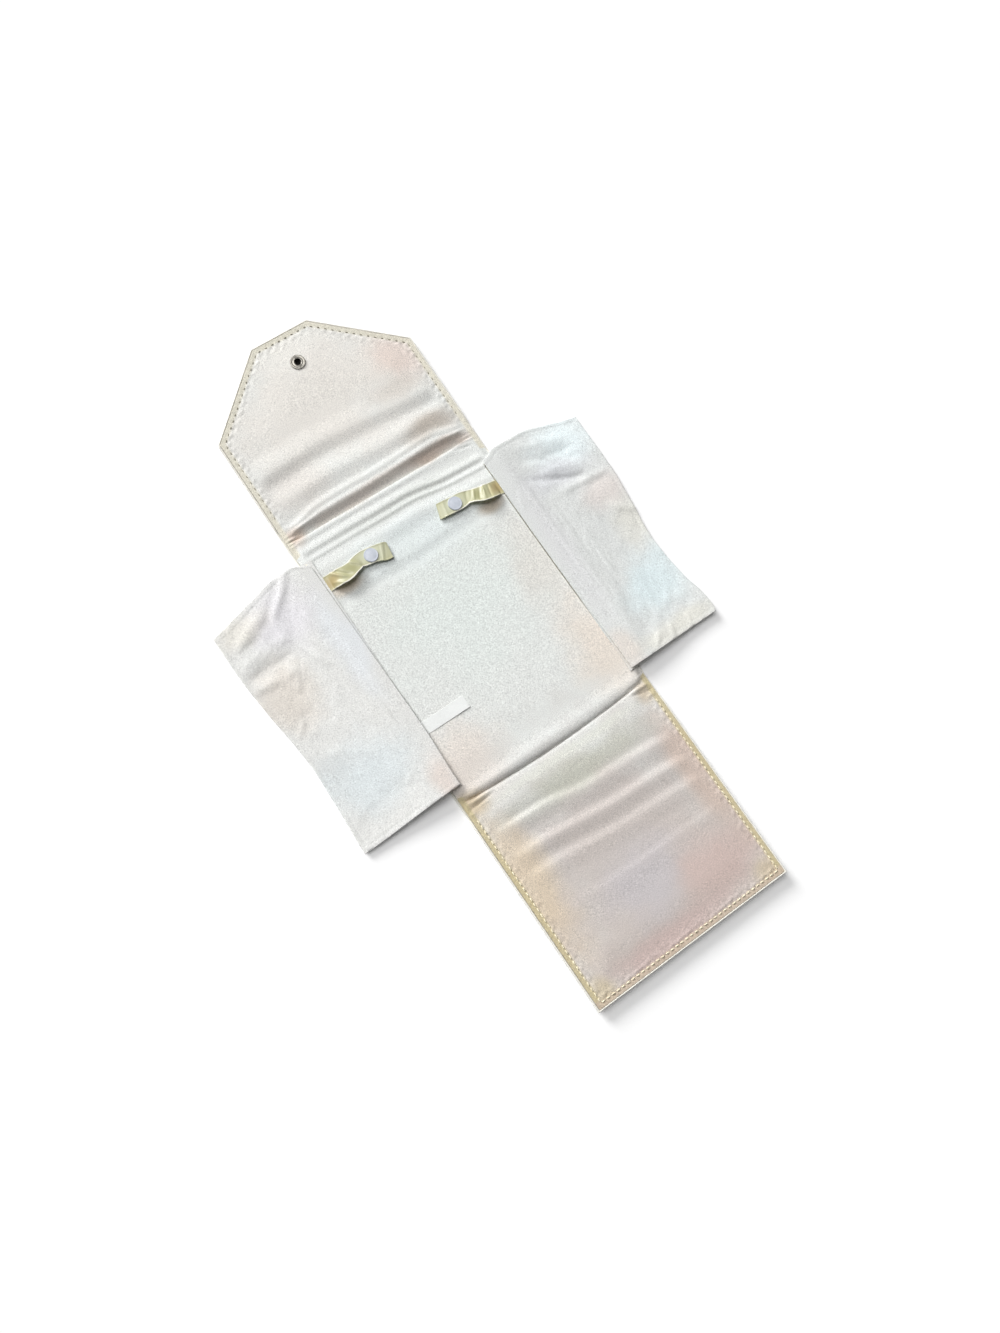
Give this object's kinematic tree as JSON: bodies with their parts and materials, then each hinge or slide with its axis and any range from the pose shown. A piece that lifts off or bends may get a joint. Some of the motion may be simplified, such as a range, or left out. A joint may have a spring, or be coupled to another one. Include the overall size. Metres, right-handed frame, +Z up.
{
  "type": "jewelry roll",
  "caption": "Folding satin-lined jewelry case lying open, with a tapered snap flap, soft side wings that fold in and ribbon straps with snaps for holding rings and chains.",
  "frame": {"origin": "middle of the centre panel's underside, on the table it lies on", "axes": "+X across the panels to the right wing, +Y along the case towards the closing flap, +Z up out of the lining"},
  "size_m": [0.2667, 0.447, 0.0099],
  "materials": {
    "leatherette": "matte",
    "greyboard": "matte",
    "wadding": "matte",
    "satin": "satin",
    "wing_satin": "satin",
    "ribbon": "satin",
    "label": "matte",
    "thread": "satin",
    "snap_metal": "satin",
    "lacquered_cap": "satin"
  },
  "bodies": {
    "centre": {"centre_outer_cover": "leatherette", "centre_board": "greyboard", "centre_padding": "wadding", "centre_lining": "satin", "care_label": "label", "left_wing_seam_allowance": "wing_satin", "right_wing_seam_allowance": "wing_satin", "left_wing_seam_stitching": "thread", "right_wing_seam_stitching": "thread", "left_strap_tail": "ribbon", "right_strap_tail": "ribbon", "left_strap_stud": "snap_metal", "right_strap_stud": "snap_metal", "left_strap_stud_back": "snap_metal", "right_strap_stud_back": "snap_metal"},
    "lower_spine": {"lower_fold_cover": "leatherette", "lower_fold_lining": "satin"},
    "lower_panel": {"lower_outer_cover": "leatherette", "lower_board": "greyboard", "lower_padding": "wadding", "lower_lining": "satin", "lower_edge_stitching": "thread", "closure_stud": "snap_metal", "closure_stud_back": "snap_metal"},
    "upper_spine": {"upper_fold_cover": "leatherette", "upper_fold_lining": "satin"},
    "flap": {"flap_outer_cover": "leatherette", "flap_board": "greyboard", "flap_padding": "wadding", "flap_lining": "satin", "flap_edge_stitching": "thread", "closure_cap": "lacquered_cap", "closure_socket": "snap_metal"},
    "left_wing_root": {"left_wing_root": "wing_satin"},
    "left_wing": {"left_wing_face": "wing_satin", "left_wing_back": "wing_satin"},
    "left_strap": {"left_strap_ribbon": "ribbon", "left_strap_snap_cap": "lacquered_cap", "left_strap_snap_socket": "snap_metal"},
    "right_wing_root": {"right_wing_root": "wing_satin"},
    "right_wing": {"right_wing_face": "wing_satin", "right_wing_back": "wing_satin"},
    "right_strap": {"right_strap_ribbon": "ribbon", "right_strap_snap_cap": "lacquered_cap", "right_strap_snap_socket": "snap_metal"}
  },
  "joints": [
    {"name": "lower_spine_fold", "type": "hinge", "parent": "centre", "child": "lower_spine", "pos_m": [0, -0.08325, 0.0009], "axis": [-1, 0, 0], "range_deg": [0, 90]},
    {"name": "lower_panel_fold", "type": "hinge", "parent": "lower_spine", "child": "lower_panel", "pos_m": [0, -0.10375, 0.0009], "axis": [-1, 0, 0], "range_deg": [0, 88.18]},
    {"name": "upper_spine_fold", "type": "hinge", "parent": "centre", "child": "upper_spine", "pos_m": [0, 0.08325, 0.0009], "axis": [1, 0, 0], "range_deg": [0, 90]},
    {"name": "flap_fold", "type": "hinge", "parent": "upper_spine", "child": "flap", "pos_m": [0, 0.10975, 0.0009], "axis": [1, 0, 0], "range_deg": [0, 89.29]},
    {"name": "left_wing_root_fold", "type": "hinge", "parent": "centre", "child": "left_wing_root", "pos_m": [-0.062, 0, 0.00615], "axis": [0, 1, 0], "range_deg": [0, 135]},
    {"name": "left_wing_fold", "type": "hinge", "parent": "left_wing_root", "child": "left_wing", "pos_m": [-0.0705, 0, 0.00615], "axis": [0, 1, 0], "range_deg": [0, 49.56]},
    {"name": "right_wing_root_fold", "type": "hinge", "parent": "centre", "child": "right_wing_root", "pos_m": [0.062, 0, 0.00615], "axis": [0, -1, 0], "range_deg": [0, 95]},
    {"name": "right_wing_fold", "type": "hinge", "parent": "right_wing_root", "child": "right_wing", "pos_m": [0.0705, 0, 0.00615], "axis": [0, -1, 0], "range_deg": [0, 89.56]},
    {"name": "left_strap_lift", "type": "hinge", "parent": "centre", "child": "left_strap", "pos_m": [-0.0605, 0.063, 0.00475], "axis": [-0.0262, 0.9997, 0], "range_deg": [-75, 0]},
    {"name": "right_strap_lift", "type": "hinge", "parent": "centre", "child": "right_strap", "pos_m": [0.0605, 0.0595, 0.00475], "axis": [-0.1564, -0.9877, 0], "range_deg": [-75, 0]}
  ],
  "couplings": [
    {"joint": "lower_panel_fold", "follows": "lower_spine_fold", "ratio": 0.9798},
    {"joint": "flap_fold", "follows": "upper_spine_fold", "ratio": 0.99209}
  ]
}
